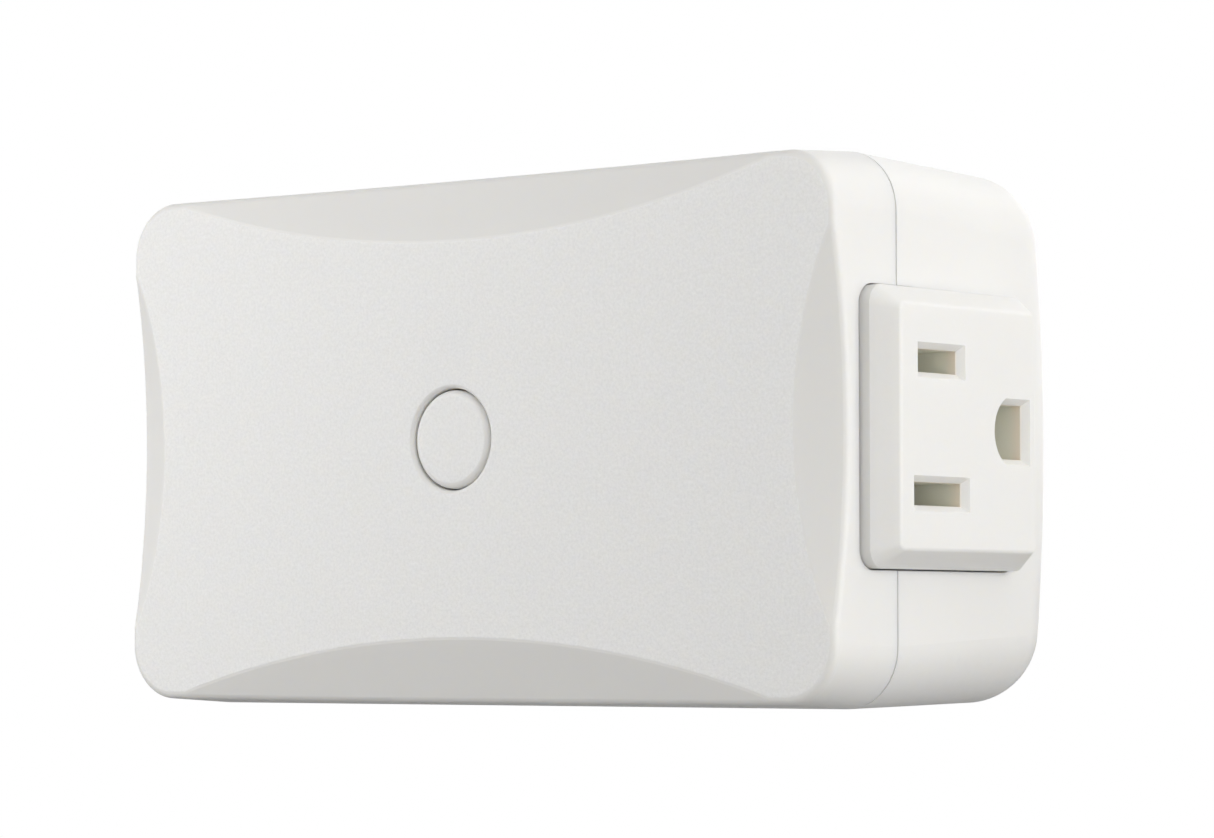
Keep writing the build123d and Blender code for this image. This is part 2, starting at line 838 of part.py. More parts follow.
def status_led():
    """Small indicator on the front of the control board."""
    front = control_board_depth - led_height
    return block(led_x, led_z, led_width, led_length, front, control_board_depth)


def light_pipe():
    """Clear rod from the indicator to the thinned spot of the front cover."""
    back = control_board_depth - led_height - pipe_fit
    return post(led_x, led_z, pipe_radius, pipe_skin + pipe_fit, back)


def radio_module():
    """Small board on the back of the control board."""
    back = control_board_back + radio_thickness
    return block(radio_x, 0, radio_length, radio_width, control_board_back, back)


def radio_shield():
    """Thin metal can over the radio parts."""
    front = control_board_back + radio_thickness
    back = front + shield_height
    x = radio_x + shield_shift
    can = block(x, 0, shield_length, shield_width, front, back)
    inner_length = shield_length - 2 * shield_wall
    inner_width = shield_width - 2 * shield_wall
    return can - block(x, 0, inner_length, inner_width, front, back - shield_wall)


def antenna():
    """Bent wire aerial beyond the end of the control board."""
    depth = control_board_back + radio_thickness + antenna_radius
    start_x = radio_x - radio_length / 2 + shield_shift / 2
    end_x = start_x - antenna_out
    points = [(start_x, 0), (end_x, 0), (end_x, antenna_up)]
    route = [(x, y_at(depth), z + body_z) for x, z in points]
    path = FilletPolyline(*route, radius=antenna_bend)
    start = Plane(origin=path @ 0, z_dir=path % 0)
    return sweep(start * Circle(antenna_radius), path=path)


def control_chip():
    """Controller on the back of the control board."""
    back = control_board_back + chip_height
    return block(chip_x, 0, chip_size, chip_size, control_board_back, back)


def tab_screw_hole(radius, low, high):
    """Round piece along Z through the dimming element's tab."""
    y = y_at(tab_depth + triac_tab_height / 2)
    place = Pos(triac_x, y, body_z + (low + high) / 2)
    return place * Cylinder(radius, high - low)


def heat_sink():
    """Aluminium plate on edge along the top of the power board."""
    length = heat_sink_right - heat_sink_left
    x = (heat_sink_left + heat_sink_right) / 2
    z = heat_sink_z + heat_sink_thickness / 2
    plate = block(x, z, length, heat_sink_thickness, heat_sink_depth, power_board_depth)
    top = heat_sink_z + heat_sink_thickness + overrun
    return plate - tab_screw_hole(tab_screw_radius + pilot_clearance, heat_sink_z - overrun, top)


def triac():
    """Dimming element: body, metal tab against the cooler and three legs."""
    body_z_middle = heat_sink_z - triac_body_thickness / 2
    body_back = power_board_depth - triac_leg_length
    body = block(triac_x, body_z_middle, triac_width, triac_body_thickness, triac_depth, body_back)
    tab_z = heat_sink_z - triac_tab_thickness / 2
    body += block(triac_x, tab_z, triac_width, triac_tab_thickness, tab_depth, triac_depth)
    for step in (-1, 0, 1):
        leg_x = triac_x + step * triac_leg_pitch
        leg = (triac_leg_width, triac_leg_thickness)
        body += block(leg_x, body_z_middle, *leg, body_back, power_board_depth)
    hole = tab_screw_radius + screw_clearance
    return body - tab_screw_hole(hole, heat_sink_z - triac_body_thickness, heat_sink_z)


def triac_screw():
    """Screw through the tab into the cooler."""
    seat = heat_sink_z - triac_tab_thickness
    end = heat_sink_z + heat_sink_thickness + tab_screw_end
    head = tab_screw_hole(tab_screw_head_radius, seat - tab_screw_head_height, seat)
    return head + tab_screw_hole(tab_screw_radius, seat, end)


def choke_core():
    """Ring core lying on the power board."""
    place = board_place(choke_x_share, choke_z_share)
    back = power_board_depth - winding_thickness
    front = back - choke_height
    return post(*place, choke_outer_radius, front, back) - post(*place, choke_inner_radius, front, back)


def choke_winding():
    """Copper winding round most of the ring core, as one closed sleeve."""
    outer = choke_outer_radius + winding_thickness
    inner = choke_inner_radius - winding_thickness
    section = Pos((outer + inner) / 2, 0) * Rectangle(outer - inner, choke_height + 2 * winding_thickness)
    middle = (choke_outer_radius + choke_inner_radius) / 2
    section -= Pos(middle, 0) * Rectangle(choke_outer_radius - choke_inner_radius, choke_height)
    sleeve = revolve(Plane.XY * section, Axis.Y, revolution_arc=winding_angle)
    x, z = board_place(choke_x_share, choke_z_share)
    depth = power_board_depth - winding_thickness - choke_height / 2
    return Pos(x, y_at(depth), z + body_z) * sleeve


def film_capacitor():
    """Box-shaped noise capacitor."""
    place = board_place(film_x_share, film_z_share)
    front = power_board_depth - film_height
    box = block(*place, film_length, film_width, front, power_board_depth)
    return fillet(box.edges().filter_by(Axis.Y), film_round)


def electrolytic_capacitor():
    """Round can with a rolled groove near its foot."""
    x, z = board_place(electrolytic_x_share, electrolytic_z_share)
    front = power_board_depth - electrolytic_height
    can = post(x, z, electrolytic_radius, front, power_board_depth)
    groove_back = power_board_depth - electrolytic_groove_place
    groove_front = groove_back - electrolytic_groove
    groove = post(x, z, electrolytic_radius, groove_front, groove_back)
    return can - (groove - post(x, z, electrolytic_radius - electrolytic_groove, groove_front, groove_back))


def varistor():
    """Disc on edge with two legs."""
    x, z = board_place(varistor_x_share, varistor_z_share)
    depth = power_board_depth - varistor_stand - varistor_radius
    left = x - varistor_thickness / 2
    disc = end_slab(Pos(depth, z) * Circle(varistor_radius), left, left + varistor_thickness)
    for side in (-1, 1):
        leg_z = z + side * varistor_leg_share * varistor_radius
        disc += post(x, leg_z, varistor_leg_radius, depth, power_board_depth)
    return disc


def bridge_rectifier():
    """Flat rectifier on the power board."""
    place = board_place(rectifier_x_share, rectifier_z_share)
    front = power_board_depth - rectifier_height
    return block(*place, rectifier_length, rectifier_width, front, power_board_depth)


def fuse_rod(radius, start_x, end_x):
    """Round piece of the fuse along X, which lies on the power board between the blades' tails."""
    place = Pos(power_board_depth - fuse_radius, fuse_z_share * power_board_half)
    return end_slab(place * Circle(radius), start_x, end_x)


def fuse_body():
    """Tube of the fuse."""
    return fuse_rod(fuse_radius - fuse_cap_wall, -fuse_length / 2, fuse_length / 2)


def fuse_caps():
    """Metal caps on both ends of the fuse."""
    outer = fuse_length / 2 + fuse_cap_wall
    inner = fuse_length / 2 - fuse_cap_length
    rods = [fuse_rod(fuse_radius, -outer, -inner), fuse_rod(fuse_radius, inner, outer)]
    return [rod - fuse_body() for rod in rods]


def transformer_core():
    """Closed ferrite frame standing on the power board."""
    place = board_place(transformer_x_share, transformer_z_share)
    front = power_board_depth - transformer_height
    return block(*place, transformer_length, transformer_width, front, power_board_depth) - transformer_coil()


def transformer_coil():
    """Wound bobbin inside the ferrite frame."""
    place = board_place(transformer_x_share, transformer_z_share)
    length = transformer_length - 2 * transformer_core_wall
    front = power_board_depth - transformer_height + transformer_core_wall
    back = power_board_depth - transformer_core_wall
    return block(*place, length, transformer_width, front, back)


save("front_cover", front_cover())
save("rear_housing", rear_housing())
save("receptacle_face", receptacle_face())
save("button_cap", button_cap())
save("hot_blade", flat_blade(blade_spacing / 2, hot_blade_width))
save("neutral_blade", flat_blade(-blade_spacing / 2, neutral_blade_width))
save("ground_pin", ground_pin())
save("blade_carrier", blade_carrier())
save("socket_body", socket_body())
blade_clip = (contact_length, contact_pinch, contact_flare, contact_back)
ground_clip = (ground_contact_length, ground_contact_pinch, ground_contact_flare, ground_contact_pinch)
save("hot_contact", contact(slot_depth, slot_z, *blade_clip))
save("neutral_contact", contact(slot_depth, -slot_z, *blade_clip))
save("ground_contact", contact(ground_depth, 0, *ground_clip))
save("hot_wire", blade_wire(slot_z))
save("neutral_wire", blade_wire(-slot_z))
save("ground_wire", ground_wire())
save("power_board", power_board())
save("control_board", control_board())
save("header_base", header_base())
save_group("header_pins", header_pins())
save("switch_body", switch_body())
save("switch_plunger", switch_plunger())
save("status_led", status_led())
save("light_pipe", light_pipe())
save("radio_module", radio_module())
save("radio_shield", radio_shield())
save("antenna", antenna())
save("control_chip", control_chip())
save("heat_sink", heat_sink())
save("triac", triac())
save("triac_screw", triac_screw())
save("choke_core", choke_core())
save("choke_winding", choke_winding())
save("film_capacitor", film_capacitor())
save("electrolytic_capacitor", electrolytic_capacitor())
save("varistor", varistor())
save("bridge_rectifier", bridge_rectifier())
save("fuse_body", fuse_body())
save_group("fuse_caps", fuse_caps())
save("transformer_core", transformer_core())
save("transformer_coil", transformer_coil())
save_group("housing_screws", housing_screws())
save_group("power_board_screws", power_board_screws())
save_group("control_board_screws", control_board_screws())
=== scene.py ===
import math

import bmesh
import bpy
from bpy.props import FloatProperty, FloatVectorProperty, PointerProperty
from bpy.types import Operator, Panel, PropertyGroup
from mathutils import Matrix, Vector


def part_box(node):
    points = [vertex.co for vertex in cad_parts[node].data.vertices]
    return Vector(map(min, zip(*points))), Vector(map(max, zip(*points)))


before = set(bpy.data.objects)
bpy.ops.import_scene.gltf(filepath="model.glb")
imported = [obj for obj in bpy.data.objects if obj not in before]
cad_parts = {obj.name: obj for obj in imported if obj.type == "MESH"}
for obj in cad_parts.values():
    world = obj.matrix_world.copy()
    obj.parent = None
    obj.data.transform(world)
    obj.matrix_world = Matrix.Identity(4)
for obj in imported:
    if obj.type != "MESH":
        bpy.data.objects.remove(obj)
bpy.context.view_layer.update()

bl_info = {
    "name": "Plug in dimmer",
    "version": (1, 0, 0),
    "blender": (4, 5, 0),
    "location": "View3D > Sidebar > Dimmer",
    "description": "Finishes, light and camera for a plug in dimmer",
    "category": "Object",
}

MM = 0.001
X, Y, Z = range(3)
WHITE = (1.0, 1.0, 1.0, 1.0)

# Camera of the photograph: angles in degrees, reach and aim in metres, lens and sensor in millimetres
CAMERA_TURN = 39.368
CAMERA_TIP = 2.828
CAMERA_ROLL = -0.075
CAMERA_REACH = 456.154 * MM
CAMERA_AIM_RIGHT = 5.244 * MM
CAMERA_AIM = Vector((0.0, -24.4 * MM, -3.392 * MM))
CAMERA_LENS = 131.21
CAMERA_SENSOR = 36.0

# Lamps: name, turn and height as seen from the case in degrees, distance and size in metres, power in watts
LAMPS = (
    ("lamp_left", -50.0, 8.0, 0.35, 0.2, 0.5),
    ("lamp_front", -20.0, 8.0, 0.35, 0.2, 0.08),
    ("lamp_high", -20.0, 30.0, 0.35, 0.2, 0.27),
    ("lamp_right", 50.0, 30.0, 0.35, 0.2, 0.13),
    ("lamp_right_low", 50.0, -25.0, 0.35, 0.2, 0.54),
    ("lamp_side", 75.0, 0.0, 0.6, 0.5, 1.85),
    ("lamp_end", 100.0, 0.0, 0.6, 0.5, 1.5),
    ("lamp_end_high", 100.0, 50.0, 0.6, 0.5, 0.62),
    ("lamp_back", 150.0, 0.0, 0.6, 0.5, 0.31),
    ("lamp_back_high", 150.0, 50.0, 0.6, 0.5, 0.76),
    ("lamp_rear", 200.0, 20.0, 0.6, 0.5, 0.55),
)

# Floor: half its side in metres, its grey for the lamps' light and for the camera, and the share of
# plain white that the camera sees in it under the case
FLOOR_REACH = 30.0
FLOOR_GREY = 0.5
FLOOR_PALE = 0.9
FLOOR_GLOW = 0.65

# White plastic, lengths: width of its clouds and ripples, depth of the housing's ripples, and the two
# depths behind a flat front between which the front's grain fades out
CLOUD = 12 * MM
RIPPLE = 0.8 * MM
RIPPLE_DEPTH = 0.001 * MM
GRAIN_FULL = 0.004 * MM
GRAIN_GONE = 0.02 * MM

# White plastic, shares: how much darker and lighter clouds and grains get, the width of a glint and the
# height of a wall's ripple beside a grain's, and how far red, green and blue light soak in
CLOUD_SHARE = 0.008
GRAIN_SHARE = 0.11
GLINT_SHARE = 0.7
RIPPLE_SHARE = 0.06
SOAK_SPREAD = (1.0, 0.9, 0.7)

# Roughness of the white plastic, of a board's mask and of its bare edges
WALL_ROUGHNESS = 0.42
FRONT_ROUGHNESS = 0.56
HOUSING_ROUGHNESS = 0.40
FACE_ROUGHNESS = 0.45
MASK_ROUGHNESS = 0.28
LAMINATE_ROUGHNESS = 0.68

# Socket's face: its grain, the border that keeps the outer colour, and the depths below the face where
# its bevels' grain and the painted light and shade inside its holes start and are full
FACE_GRAIN = 0.3 * MM
FACE_GRAIN_DEPTH = 0.006 * MM
FACE_BORDER = 3 * MM
FACE_BORDER_FADE = 0.3 * MM
BEVEL_START = 0.04 * MM
BEVEL_FULL = 0.3 * MM
MOUTH_LIGHT_START = 0.6 * MM
MOUTH_LIGHT_FULL = 0.9 * MM
HOLLOW_LIGHT_FULL = 2.4 * MM

# Other plastics: width of their grain and clouds, and depths of the grain
MOULD_GRAIN = 0.4 * MM
MOULD_CLOUD = 15 * MOULD_GRAIN
MOULD_DEPTH = 0.004 * MM
PAINT_DEPTH = 0.02 * MM
DIP_DEPTH = 0.015 * MM
FERRITE_DEPTH = 0.01 * MM

# Metals: width and depth of their marks, and width of their stains
METAL_MARK = 0.5 * MM
METAL_DEPTH = 0.003 * MM
METAL_STAIN = 8 * METAL_MARK

# Boards: pitch and depth of the tracks, width of the bare edge, and the shares of the pitch between
# which a track ends
TRACK_PITCH = 3.2 * MM
TRACK_DEPTH = 0.02 * MM
BOARD_EDGE = 0.12 * MM
TRACK_FULL = 0.06
TRACK_GONE = 0.10

# Clear parts and windings: width and depth of their unevenness, and the pitch of the turns
GLASS_WAVE = 2 * MM
GLASS_DEPTH = 0.01 * MM
LENS_HAZE = 0.5 * MM
LENS_DEPTH = 0.002 * MM
CHOKE_PITCH = 0.9 * MM
COIL_PITCH = 2.4 * MM


def colour(name, value, about):
    """A colour that a user may change."""
    return FloatVectorProperty(
        name=name, description=about, default=value, size=3, min=0.0, max=1.0, subtype="COLOR"
    )


def length(name, value, about):
    """A length in metres that a user may change."""
    return FloatProperty(name=name, description=about, default=value, min=0.0, unit="LENGTH", precision=6)


def number(name, value, about, top=1.0):
    """A plain number that a user may change."""
    return FloatProperty(name=name, description=about, default=value, min=0.0, max=top)


class DimmerFinish(PropertyGroup):
    """Colours of all the materials, and the grain and soaked-in light of the white plastic."""

    shell: colour("Shell", (0.80, 0.79, 0.765), "White plastic of the smooth walls")
    # Front is the walls' white made a little lighter by painted light on the flat front; its grain is the
    # plastic's own
    cover: colour("Front", (0.83, 0.825, 0.81), "White plastic of the grained front face")
    # Hollow and Mouth are not the plastic's own colour: they are painted light and shade, a warm tint down
    # the socket's holes, where the plastic is white
    hollow_painted_light: colour("Hollow", (0.845, 0.84, 0.74), "White plastic deep inside the holes of the socket")
    mouth_painted_light: colour("Mouth", (0.89, 0.82, 0.72), "White plastic just inside the holes of the socket")
    soak: length("Light depth", 1.5 * MM, "How deep light soaks into the white plastic")
    soak_share: number("Light share", 0.5, "Share of the light that soaks into the white plastic")
    grain: length("Grain", 0.32 * MM, "Width of one grain of the front face")
    grain_depth: length("Grain depth", 0.02 * MM, "Depth of the front face's grain")
    brass: colour("Brass", (0.70, 0.56, 0.32), "Blades and ground pin")
    spring_brass: colour("Spring brass", (0.80, 0.58, 0.30), "Contacts inside the socket")
    gold: colour("Gold", (0.90, 0.68, 0.30), "Pins between the two boards")
    steel: colour("Steel", (0.60, 0.60, 0.62), "Screws")
    tin: colour("Tin", (0.78, 0.78, 0.78), "Shield and fuse caps")
    aluminium: colour("Aluminium", (0.80, 0.80, 0.82), "Cooler of the dimming element")
    copper: colour("Copper", (0.80, 0.32, 0.12), "Winding of the choke")
    insulator: colour("Insulator", (0.07, 0.07, 0.075), "Moulded blocks that hold live metal")
    plunger: colour("Plunger", (0.03, 0.03, 0.03), "Plunger of the push switch")
    lead_black: colour("Black lead", (0.02, 0.02, 0.02), "Lead of the hot contact, and the antenna")
    lead_white: colour("White lead", (0.80, 0.80, 0.77), "Lead of the neutral contact")
    lead_green: colour("Green lead", (0.02, 0.28, 0.07), "Lead of the ground contact")
    mask: colour("Solder mask", (0.015, 0.13, 0.06), "Circuit boards")
    laminate: colour("Laminate", (0.42, 0.36, 0.16), "Bare edges of the circuit boards")
    chip: colour("Chip", (0.03, 0.03, 0.032), "Epoxy of the controller")
    epoxy: colour("Epoxy", (0.03, 0.03, 0.035), "Dimming element and rectifier")
    indicator: colour("Indicator", (0.90, 0.90, 0.84), "Milky plastic of the indicator")
    core: colour("Choke core", (0.70, 0.55, 0.04), "Paint on the ring of the choke")
    film: colour("Film capacitor", (0.75, 0.50, 0.05), "Case of the film capacitor")
    sleeve: colour("Sleeve", (0.02, 0.025, 0.10), "Shrink sleeve of the round capacitor")
    varistor: colour("Varistor", (0.03, 0.12, 0.45), "Dipped coat of the varistor")
    ferrite: colour("Ferrite", (0.05, 0.05, 0.055), "Core of the transformer")
    tape: colour("Tape", (0.75, 0.52, 0.06), "Tape round the transformer's coil")
    glass: colour("Glass", (0.95, 0.97, 0.97), "Tube of the fuse")


class DimmerLight(PropertyGroup):
    """Lamps, floor and backdrop."""

    sky: number("Sky", 0.02, "Strength of the even light from all round", 4.0)
    lamps: number("Lamps", 1.0, "Brightness of all the lamps", 100.0)
    floor_drop: length("Floor drop", 60 * MM, "Gap between the case and the floor")
    floor_near: length("Floor near", 0.1, "Distance up to which the floor shows the shadow in full")
    floor_far: length("Floor far", 0.33, "Distance from which the floor is plain white")


class Wire:
    """One value of a material: a node's socket, with operators that add Math nodes."""

    def __init__(self, graph, socket):
        self.graph = graph
        self.socket = socket

    def __add__(self, other):
        return self.graph.math("ADD", self, other)

    def __sub__(self, other):
        return self.graph.math("SUBTRACT", self, other)

    def __rsub__(self, other):
        return self.graph.math("SUBTRACT", other, self)

    def __mul__(self, other):
        return self.graph.math("MULTIPLY", self, other)

    __radd__ = __add__
    __rmul__ = __mul__


class Graph:
    """The node tree of one material or of the world."""

    def __init__(self, owner):
        owner.use_nodes = True
        self.owner = owner
        self.tree = owner.node_tree
        self.tree.nodes.clear()

    def node(self, kind, settings, sockets, output=0):
        """Adds one node: its settings first, then the values and links of its sockets."""
        made = self.tree.nodes.new(kind)
        for key, value in settings.items():
            setattr(made, key, value)
        for key, value in sockets.items():
            if isinstance(value, Wire):
                self.tree.links.new(value.socket, made.inputs[key])
            else:
                made.inputs[key].default_value = value
        return Wire(self, made.outputs[output]) if made.outputs else None

    def math(self, operation, first, second=0.0):
        """A Math node on one or two values."""
        return self.node("ShaderNodeMath", {"operation": operation}, {0: first, 1: second})

    def place(self):
        """The point on the surface, in metres."""
        return self.node("ShaderNodeTexCoord", {}, {}, "Object")

    def axis(self, point, which):
        """The X, Y or Z of a point."""
        return self.node("ShaderNodeSeparateXYZ", {}, {0: point}, which)

    def ray(self, kind):
        """1 for one kind of ray and 0 for the others."""
        return self.node("ShaderNodeLightPath", {}, {}, kind)

    def noise(self, point, size, detail=2.0, roughness=0.5):
        """Noise from 0 to 1 whose lumps have the given size."""
        sockets = {"Vector": point, "Scale": 1.0 / size, "Detail": detail, "Roughness": roughness}
        return self.node("ShaderNodeTexNoise", {}, sockets)

    def step(self, value, start, end):
        """0 below start, 1 above end and smooth between."""
        sockets = dict(enumerate((value, start, end, 0.0, 1.0)))
        return self.node("ShaderNodeMapRange", {"interpolation_type": "SMOOTHSTEP"}, sockets)

    def blend(self, factor, first, second):
        """Mix of two colours."""
        return self.node("ShaderNodeMix", {"data_type": "RGBA"}, {0: factor, 6: first, 7: second}, 2)

    def mottle(self, factor, base, darker, lighter):
        """A colour that goes from one share darker to one share lighter."""
        return self.blend(factor, rgba(base, 1.0 - darker), rgba(base, 1.0 + lighter))

    def bump(self, height, depth):
        """Surface normal bent by a height from 0 to 1 that stands for the given depth."""
        return self.node("ShaderNodeBump", {}, {"Height": height, "Distance": depth})

    def surface(self, sockets):
        """Ends a material with the standard surface shader."""
        self.end(self.node("ShaderNodeBsdfPrincipled", {}, sockets))
        return self.owner

    def end(self, shader, kind="ShaderNodeOutputMaterial"):
        """Links a shader to the output."""
        self.node(kind, {}, {0: shader})


def rgba(values, factor=1.0):
    """A colour with alpha, made lighter or darker."""
    return tuple(min(value * factor, 1.0) for value in values[:3]) + (1.0,)


def vary(middle, noise, spread):
    """A value that noise moves up and down about its middle."""
    return middle + (noise - 0.5) * spread


def between(factor, first, second):
    """A value that goes from first to second as the factor goes from 0 to 1."""
    return first + factor * (second - first)


def new_graph(name):
    """The graph of a new material."""
    return Graph(bpy.data.materials.new(name))


def dress(material, *nodes):
    """Gives CAD nodes one material."""
    for node in nodes:
        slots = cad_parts[node].data.materials
        slots.clear()
        slots.append(material)


def soaking(finish):
    """Sockets that let light soak a little way into the white plastic."""
    return {
        "Subsurface Weight": finish.soak_share,
        "Subsurface Radius": SOAK_SPREAD,
        "Subsurface Scale": finish.soak,
    }


def cover_plastic(finish, name, node):
    """White plastic, grained on the flat front of a node and smooth on its chamfers and sides, with painted
    light that makes the flat front a little lighter than the walls.
    """
    graph = new_graph(name)
    point = graph.place()
    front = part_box(node)[0][Y]
    flat = 1.0 - graph.step(graph.axis(point, Y), front + GRAIN_FULL, front + GRAIN_GONE)
    grain = graph.noise(point, finish.grain, detail=2.5, roughness=0.6)
    glint = graph.noise(point, GLINT_SHARE * finish.grain, detail=1.0)
    ripple = graph.noise(point, RIPPLE)
    walls = graph.mottle(graph.noise(point, CLOUD), finish.shell, CLOUD_SHARE, CLOUD_SHARE)
    # The flat front's colour is lighter than the walls' by painted light, and mottled by the plastic's own
    # grain
    face = graph.mottle(grain, finish.cover, GRAIN_SHARE, GRAIN_SHARE)
    height = grain * flat + ripple * (1.0 - flat) * RIPPLE_SHARE
    roughness = between(flat, WALL_ROUGHNESS, FRONT_ROUGHNESS)
    return graph.surface({
        "Base Color": graph.blend(flat, walls, face),
        "Roughness": vary(roughness, glint, spread=flat * 0.2),
        "Normal": graph.bump(height, finish.grain_depth),
        **soaking(finish),
    })


def housing_plastic(finish):
    """Smooth white plastic of the rear housing."""
    graph = new_graph("housing_plastic")
    point = graph.place()
    ripple = graph.noise(point, RIPPLE)
    return graph.surface({
        "Base Color": graph.mottle(graph.noise(point, CLOUD), finish.shell, CLOUD_SHARE, CLOUD_SHARE),
        "Roughness": vary(HOUSING_ROUGHNESS, ripple, spread=0.06),
        "Normal": graph.bump(ripple, RIPPLE_DEPTH),
        **soaking(finish),
    })


def inside_border(graph, point, low, high):
    """1 in the middle of a box's end, and 0 along the end's top, bottom and front edges."""
    middle = (low[Z] + high[Z]) / 2
    aside = graph.math("ABSOLUTE", graph.axis(point, Z) - middle)
    top = high[Z] - middle - FACE_BORDER
    front = low[Y] + FACE_BORDER
    edge = graph.step(aside, top, top + FACE_BORDER_FADE)
    return (1.0 - edge) * graph.step(graph.axis(point, Y), front, front + FACE_BORDER_FADE)


def face_plastic(finish):
    """White plastic of the socket's face, darker and warmer down its holes from painted light and shade."""
    graph = new_graph("face_plastic")
    point = graph.place()
    low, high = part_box("receptacle_face")
    down = high[X] - graph.axis(point, X)
    holes = inside_border(graph, point, low, high)
    grain = graph.noise(point, FACE_GRAIN)
    outer = graph.mottle(grain, finish.shell, darker=0.01, lighter=0.01)
    # Painted light and shade: with depth down the holes the colour turns to the mouth tint and then to the
    # hollow tint
    mouth_painted_light = graph.blend(graph.step(down, MOUTH_LIGHT_START, MOUTH_LIGHT_FULL) * holes, outer, rgba(finish.mouth_painted_light))
    hollow_painted_light = graph.step(down, MOUTH_LIGHT_FULL, HOLLOW_LIGHT_FULL) * holes
    return graph.surface({
        "Base Color": graph.blend(hollow_painted_light, mouth_painted_light, rgba(finish.hollow_painted_light)),
        "Roughness": vary(FACE_ROUGHNESS, grain, spread=0.1),
        "Normal": graph.bump(grain * graph.step(down, BEVEL_START, BEVEL_FULL), FACE_GRAIN_DEPTH),
        **soaking(finish),
    })


def plastic(name, base, roughness, depth=MOULD_DEPTH):
    """Moulded plastic with a fine grain and faint mottling."""
    graph = new_graph(name)
    point = graph.place()
    grain = graph.noise(point, MOULD_GRAIN, detail=3.0)
    return graph.surface({
        "Base Color": graph.mottle(graph.noise(point, MOULD_CLOUD), base, darker=0.06, lighter=0.06),
        "Roughness": vary(roughness, grain, spread=0.15),
        "Normal": graph.bump(grain, depth),
    })


def metal(name, base, roughness, stretch=(1.0, 1.0, 1.0)):
    """Bare metal with faint drawing marks and uneven polish."""
    graph = new_graph(name)
    point = graph.place()
    drawn = graph.node("ShaderNodeMapping", {}, {"Vector": point, "Scale": stretch})
    marks = graph.noise(drawn, METAL_MARK, detail=4.0, roughness=0.6)
    stain = graph.noise(point, METAL_STAIN, detail=3.0)
    return graph.surface({
        "Base Color": graph.mottle(stain, base, darker=0.12, lighter=0.04),
        "Metallic": 1.0,
        "Roughness": vary(vary(roughness, marks, spread=0.2), stain, spread=0.1),
        "Normal": graph.bump(marks, METAL_DEPTH),
    })


def board_rim(graph, point, low, high):
    """1 on the four edges of a board and 0 on its two faces."""
    rims = []
    for which in (X, Z):
        middle = (low[which] + high[which]) / 2
        half = (high[which] - low[which]) / 2
        aside = graph.math("ABSOLUTE", graph.axis(point, which) - middle)
        rims.append(graph.step(aside, half - BOARD_EDGE, half))
    return graph.math("MAXIMUM", *rims)


def board(finish, name, node):
    """Circuit board: green mask over copper tracks, with bare laminate at the edges."""
    graph = new_graph(name)
    point = graph.place()
    low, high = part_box(node)
    rim = board_rim(graph, point, low, high)
    cells = graph.node(
        "ShaderNodeTexVoronoi", {"feature": "DISTANCE_TO_EDGE"},
        {"Vector": point, "Scale": 1.0 / TRACK_PITCH, "Randomness": 0.55}, "Distance",
    )
    track = 1.0 - graph.step(cells, TRACK_FULL, TRACK_GONE)
    mask = graph.mottle(track, finish.mask, darker=0.0, lighter=0.9)
    return graph.surface({
        "Base Color": graph.blend(rim, mask, rgba(finish.laminate)),
        "Roughness": between(rim, MASK_ROUGHNESS, LAMINATE_ROUGHNESS),
        "Normal": graph.bump(track, TRACK_DEPTH),
    })


def glass(name, base):
    """Clear glass with a faint waviness."""
    graph = new_graph(name)
    wave = graph.noise(graph.place(), GLASS_WAVE)
    return graph.surface({
        "Base Color": rgba(base),
        "Roughness": between(wave, 0.04, 0.08),
        "Transmission Weight": 1.0,
        "IOR": 1.5,
        "Normal": graph.bump(wave, GLASS_DEPTH),
    })


def lens(name, base):
    """Milky clear plastic of the indicator."""
    graph = new_graph(name)
    haze = graph.noise(graph.place(), LENS_HAZE)
    return graph.surface({
        "Base Color": graph.mottle(haze, base, darker=0.05, lighter=0.03),
        "Roughness": between(haze, 0.15, 0.25),
        "Subsurface Weight": 0.2,
        "Coat Weight": 0.3,
        "Normal": graph.bump(haze, LENS_DEPTH),
    })


def winding(name, base, pitch, which):
    """Turns of wire or tape laid side by side along an axis."""
    graph = new_graph(name)
    point = graph.place()
    turn = graph.math("SINE", graph.axis(point, which) * (math.tau / pitch)) * 0.5 + 0.5
    uneven = graph.noise(point, 4 * pitch)
    return graph.surface({
        "Base Color": graph.mottle(uneven, base, darker=0.15, lighter=0.1),
        "Roughness": between(uneven, 0.35, 0.45),
        "Normal": graph.bump(turn, 0.3 * pitch),
    })


class DIMMER_OT_case(Operator):
    """Finish of the front cover and the rear housing"""

    bl_idname = "dimmer.case"
    bl_label = "Case"

    def execute(self, context):
        finish = context.scene.dimmer_finish
        dress(cover_plastic(finish, "cover_plastic", "front_cover"), "front_cover")
        dress(housing_plastic(finish), "rear_housing")
        return {"FINISHED"}


class DIMMER_OT_button(Operator):
    """Finish of the push button and its switch"""

    bl_idname = "dimmer.button"
    bl_label = "Button"

    def execute(self, context):
        finish = context.scene.dimmer_finish
        dress(cover_plastic(finish, "button_plastic", "button_cap"), "button_cap")
        dress(plastic("plunger_plastic", finish.plunger, roughness=0.35), "switch_plunger")
        dress(plastic("switch_plastic", finish.insulator, roughness=0.4), "switch_body")
        return {"FINISHED"}


class DIMMER_OT_socket(Operator):
    """Finish of the socket's face, block and contacts"""

    bl_idname = "dimmer.socket"
    bl_label = "Socket"

    def execute(self, context):
        finish = context.scene.dimmer_finish
        dress(face_plastic(finish), "receptacle_face")
        dress(plastic("socket_plastic", finish.insulator, roughness=0.5), "socket_body")
        brass = metal("contact_brass", finish.spring_brass, roughness=0.28, stretch=(0.15, 1.0, 1.0))
        dress(brass, "hot_contact", "neutral_contact", "ground_contact")
        return {"FINISHED"}


